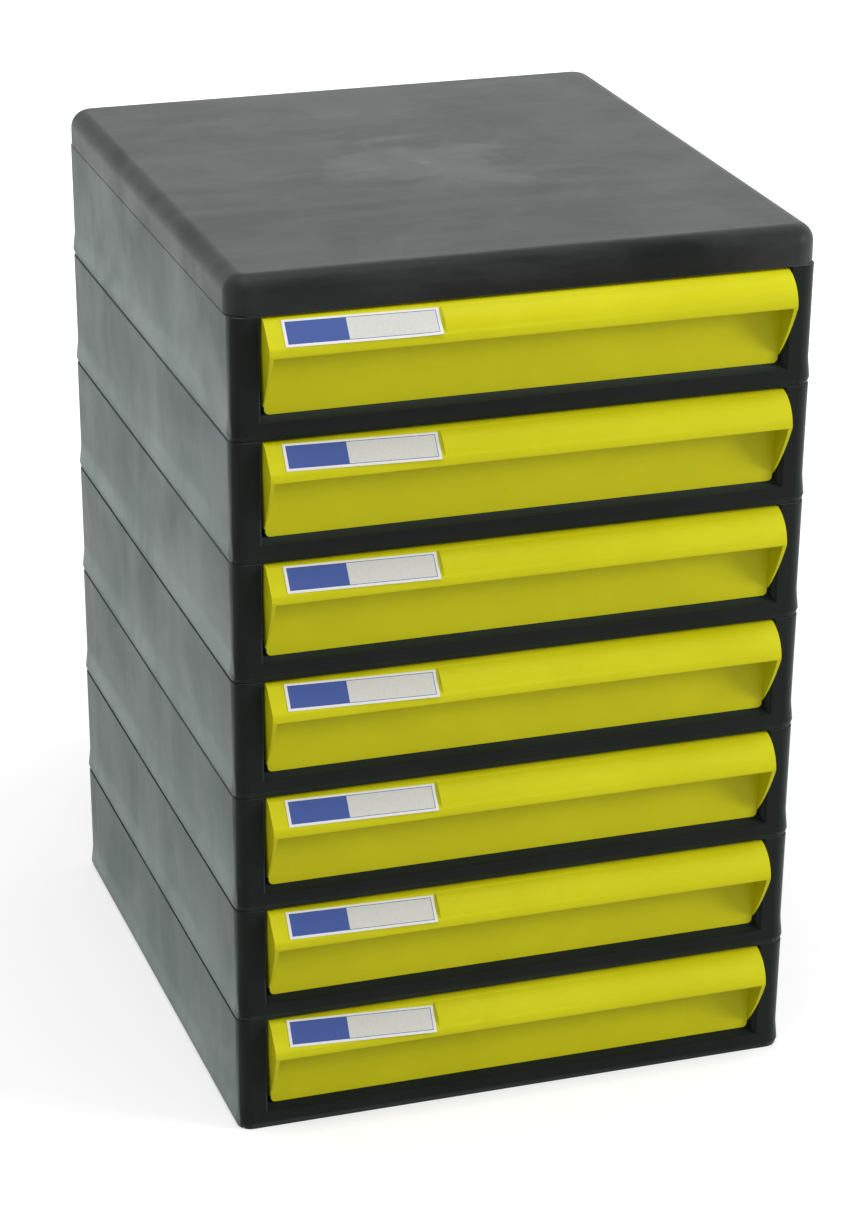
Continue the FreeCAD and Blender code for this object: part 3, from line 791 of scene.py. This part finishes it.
@dataclass
class FrameMoulding(Moulding):
    """One tier's frame, with the hairline slits closed where its side hollows reach the rounded corners."""

    edge_round: float = 0.2 * MM
    slit_angle: float = math.radians(125.0)
    corner_wall: float = 0.8 * MM

    def ring_of(self, start: bmesh.types.BMVert) -> list[bmesh.types.BMVert]:
        """Follows an open edge loop from one of its points and returns the points, the lowest first."""
        ring, ahead = [], [start]
        while ahead:
            vert = ahead.pop()
            if vert not in ring:
                ring.append(vert)
                ahead += [edge.other_vert(vert) for edge in vert.link_edges if len(edge.link_faces) == 1]
        return sorted(ring, key=lambda vert: vert.co.z)

    def solid(self) -> bmesh.types.BMesh:
        """Parts the wall's two skins at each slit, closes them and moves the hollow's one inward."""
        skin = super().solid()
        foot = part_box(self.node_name)[0][2] + self.corner_wall
        bmesh.ops.split_edges(skin, edges=[
            edge for edge in skin.edges if edge.calc_face_angle() > self.slit_angle
            and min(vert.co.z for vert in edge.verts) > foot])
        loose = {vert for edge in skin.edges if len(edge.link_faces) == 1 for vert in edge.verts}
        welds = {}
        while loose:
            ring = self.ring_of(next(iter(loose)))
            loose -= set(ring)
            outward = Vector((math.copysign(1.0, ring[0].co.x),
                              math.copysign(1.0, ring[0].co.y - CABINET_Y), 0.0))
            if sum(face.normal.dot(outward) for vert in ring for face in vert.link_faces) < 0.0:
                for vert in ring:
                    vert.co -= self.corner_wall * outward
            _, left, right, _ = ring
            right.co = (left.co + right.co) / 2
            welds[left] = right
        bmesh.ops.weld_verts(skin, targetmap=welds)
        skin.normal_update()
        return skin


@dataclass
class DrawerMoulding(Moulding):
    """One drawer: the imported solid's tray behind a front of its own."""

    base: float = 0.0
    sharp_angle: float = math.radians(42.0)
    cut_back: float = 9.3 * MM

    def solid(self) -> bmesh.types.BMesh:
        """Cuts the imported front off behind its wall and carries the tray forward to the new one."""
        skin = super().solid()
        front = PullFront(self.base)
        cut = FRONT_Y + self.cut_back
        everything = skin.verts[:] + skin.edges[:] + skin.faces[:]
        halved = bmesh.ops.bisect_plane(skin, geom=everything, plane_co=(0.0, cut, 0.0),
                                        plane_no=(0.0, -1.0, 0.0), clear_outer=True)
        rim = [part for part in halved["geom_cut"] if isinstance(part, bmesh.types.BMEdge)]
        end = bmesh.ops.edgeloop_fill(skin, edges=rim)["faces"]
        forward = front.wall_back - 2 * front.hidden_gap - cut
        front.extrude(skin, end, Vector((0.0, forward, 0.0)), tuple(end))
        bmesh.ops.recalc_face_normals(skin, faces=skin.faces)
        return skin

    def add_forms(self, skin: bmesh.types.BMesh) -> None:
        """Adds the front."""
        PullFront(self.base).add_to(skin)


@dataclass
class CardLabel:
    """A card laid by hand on the flat of a pull, a little turned and with a corner that may lift."""

    tier: int
    base: float
    turn: float
    lift: float = 0.0
    across: float = -83.95 * MM
    drop: float = 0.4 * MM
    width: float = 74.7 * MM
    height: float = 13.7 * MM
    thickness: float = 0.25 * MM
    air: float = 0.03 * MM
    columns: int = 28
    rows: int = 8
    lift_from: float = 0.28
    lift_run: float = 0.22
    lift_below: float = 0.2
    lift_fall: float = 0.7

    def shape(self) -> bpy.types.Mesh:
        """Makes the card as a grid with its own UV map, lifts its corner and gives it its thickness."""
        sheet = bmesh.new()
        sheet.loops.layers.uv.new("card")
        bmesh.ops.create_grid(sheet, x_segments=self.columns, y_segments=self.rows, size=0.5,
                              calc_uvs=True)
        for corner in sheet.verts:
            right = max(0.0, corner.co.x - self.lift_from) / self.lift_run
            low = max(0.0, self.lift_below - corner.co.y) / self.lift_fall
            corner.co.z = self.lift * (right * low) ** 2
        bmesh.ops.scale(sheet, vec=(self.width, self.height, 1.0), verts=sheet.verts)
        bmesh.ops.solidify(sheet, geom=sheet.faces[:], thickness=self.thickness)
        bmesh.ops.recalc_face_normals(sheet, faces=sheet.faces)
        lowest = min(corner.co.z for corner in sheet.verts)
        bmesh.ops.translate(sheet, vec=(0.0, 0.0, self.air - lowest), verts=sheet.verts)
        place = PullFront(self.base).seat(self.across, self.drop) @ Matrix.Rotation(-self.turn, 4, "Z")
        bmesh.ops.transform(sheet, matrix=place, verts=sheet.verts)
        mesh = bpy.data.meshes.new(f"card_{self.tier}")
        sheet.to_mesh(mesh)
        sheet.free()
        return mesh

    def build(self) -> bpy.types.Object:
        """Makes the card, gives it its print and puts it on its drawer."""
        mesh = self.shape()
        mesh.materials.append(CARD.material())
        piece = bpy.data.objects.new(f"card_{self.tier}", mesh)
        bpy.context.collection.objects.link(piece)
        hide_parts(f"label_{self.tier}")
        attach(piece, f"drawer_{self.tier}")
        log.info("card_%d: turned %.1f degrees", self.tier, math.degrees(self.turn))
        return piece


@dataclass
class Cabinet:
    """The black cover and the seven stacked frames."""

    tiers: int = TIERS

    def build(self) -> list[bpy.types.Object]:
        """Makes the cover and every frame."""
        pieces = [Moulding("cover", "lid", "cabinet", BLACK_COVER, edge_round=0.4 * MM).build()]
        for tier in range(1, self.tiers + 1):
            pieces.append(FrameMoulding(f"tier_moulding_{tier}", f"tier_frame_{tier}", "cabinet",
                                        BLACK_TIER).build())
        return pieces


@dataclass
class DrawerSet:
    """The seven yellow drawers and the cards on them."""

    turns: tuple[float, ...] = (0.8, 1.5, 1.1, 1.6, 1.2, 1.4, 2.7)
    corner_lift: float = 0.9 * MM

    def build(self) -> list[bpy.types.Object]:
        """Makes every drawer with its card."""
        pieces = []
        for tier, turn in enumerate(self.turns, start=1):
            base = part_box(f"tier_frame_{tier}")[0][2]
            pieces.append(DrawerMoulding(f"drawer_moulding_{tier}", f"drawer_{tier}", f"drawer_{tier}",
                                         YELLOW_DRAWER, base=base).build())
            lift = self.corner_lift if tier == 1 else 0.0
            pieces.append(CardLabel(tier, base, math.radians(turn), lift).build())
        return pieces


@dataclass(frozen=True)
class Lamp:
    """A square soft lamp that faces the middle of the cabinet."""

    name: str
    place: tuple[float, float, float]
    size: float
    power: float
    aim: tuple[float, float, float] = (0.0, 0.0, 0.2)

    def build(self) -> None:
        """Adds the lamp to the scene."""
        light = bpy.data.lights.new(self.name, "AREA")
        light.size = self.size
        light.energy = self.power
        holder = bpy.data.objects.new(self.name, light)
        holder.location = self.place
        facing = Vector(self.aim) - Vector(self.place)
        holder.rotation_euler = facing.to_track_quat("-Z", "Y").to_euler()
        bpy.context.collection.objects.link(holder)


@dataclass
class Studio:
    """A pale floor, a white surround, soft lamps and the camera."""

    focal_pixels: float = 3703.636
    frame_height: float = 1226.0
    sensor: float = 36.0
    yaw: float = math.radians(18.50)
    pitch: float = math.radians(22.59)
    roll: float = math.radians(0.46)
    distance: float = 1.932517
    target: tuple[float, float, float] = (0.002154, CABINET_Y, 0.196669)
    far: float = 50.0
    floor_half: float = 6.0
    floor_roughness: float = 0.9
    floor_tone: Ramp = Ramp(0.0, 1.0, 0.50, 0.52, straight=True)
    floor_glow: Ramp = Ramp(0.3, 1.2, 0.56, 1.0, straight=True)
    surround_light: Ramp = Ramp(0.0, 1.0, 0.5, 1.0, straight=True)
    lamps: tuple[Lamp, ...] = (Lamp("window", (1.80, -1.20, 0.95), 0.7, 27.0),
                               Lamp("overhead", (-0.4, -0.5, 3.6), 2.4, 64.0))

    def camera(self) -> None:
        """Aims the camera at the cabinet and makes it the scene's own."""
        back = Vector((-math.sin(self.yaw) * math.cos(self.pitch),
                       -math.cos(self.yaw) * math.cos(self.pitch), math.sin(self.pitch)))
        right = (-back).cross(Vector((0.0, 0.0, 1.0))).normalized()
        up = right.cross(-back)
        cosine, sine = math.cos(self.roll), math.sin(self.roll)
        turned_right, turned_up = cosine * right + sine * up, cosine * up - sine * right
        lens = bpy.data.cameras.new("camera")
        lens.sensor_width = self.sensor
        lens.lens = self.sensor * self.focal_pixels / self.frame_height
        lens.clip_end = self.far
        holder = bpy.data.objects.new("camera", lens)
        turn = Matrix((turned_right, turned_up, back)).transposed().to_4x4()
        holder.matrix_world = Matrix.Translation(Vector(self.target) + self.distance * back) @ turn
        bpy.context.collection.objects.link(holder)
        bpy.context.scene.camera = holder

    def seen(self, tree: bpy.types.NodeTree) -> bpy.types.NodeSocket:
        """Gives 1 to rays that show something, straight or reflected, and 0 to those that only light it."""
        path = node(tree, "LightPath").outputs
        mirrored = combine(tree, "MAXIMUM", path["Is Camera Ray"], path["Is Glossy Ray"])
        return combine(tree, "MAXIMUM", mirrored, path["Is Transmission Ray"])

    def floor(self) -> None:
        """Lays the pale floor, which shows white and keeps the cabinet's shadow."""
        ground = bmesh.new()
        bmesh.ops.create_grid(ground, x_segments=1, y_segments=1, size=self.floor_half)
        mesh = bpy.data.meshes.new("floor")
        ground.to_mesh(mesh)
        ground.free()
        made = bpy.data.materials.new("pale_floor")
        made.use_nodes = True
        tree = made.node_tree
        shader = tree.nodes["Principled BSDF"]
        shader.inputs["Roughness"].default_value = self.floor_roughness
        shader.inputs["Specular IOR Level"].default_value = 0.0
        speck = node(tree, "TexNoise", Scale=3.0, Detail=2.0)
        place = node(tree, "TexCoord").outputs["Object"]
        tree.links.new(place, speck.inputs["Vector"])
        tree.links.new(self.floor_tone.of(tree, speck.outputs["Fac"]), shader.inputs["Base Color"])
        away = node(tree, "VectorMath", operation="LENGTH")
        tree.links.new(place, away.inputs[0])
        fade = self.floor_glow.of(tree, away.outputs["Value"])
        shader.inputs["Emission Color"].default_value = (1.0, 1.0, 1.0, 1.0)
        tree.links.new(combine(tree, "MULTIPLY", self.seen(tree), fade), shader.inputs["Emission Strength"])
        mesh.materials.append(made)
        plane = bpy.data.objects.new("floor", mesh)
        bpy.context.collection.objects.link(plane)

    def surround(self) -> None:
        """Lights the scene evenly and shows a white background."""
        world = bpy.data.worlds.new("surround")
        world.use_nodes = True
        tree = world.node_tree
        background = tree.nodes["Background"]
        background.inputs["Color"].default_value = (1.0, 1.0, 1.0, 1.0)
        tree.links.new(self.surround_light.of(tree, self.seen(tree)), background.inputs["Strength"])
        bpy.context.scene.world = world

    def build(self) -> None:
        """Sets the whole studio up."""
        bpy.context.scene.view_settings.view_transform = "Standard"
        self.surround()
        self.floor()
        for lamp in self.lamps:
            lamp.build()
        self.camera()


def main() -> None:
    """Builds the cabinet, its drawers and the studio."""
    logging.basicConfig(level=logging.INFO, format="%(message)s")
    Cabinet().build()
    DrawerSet().build()
    Studio().build()
    bpy.context.view_layer.update()


if __name__ == "__main__":
    main()
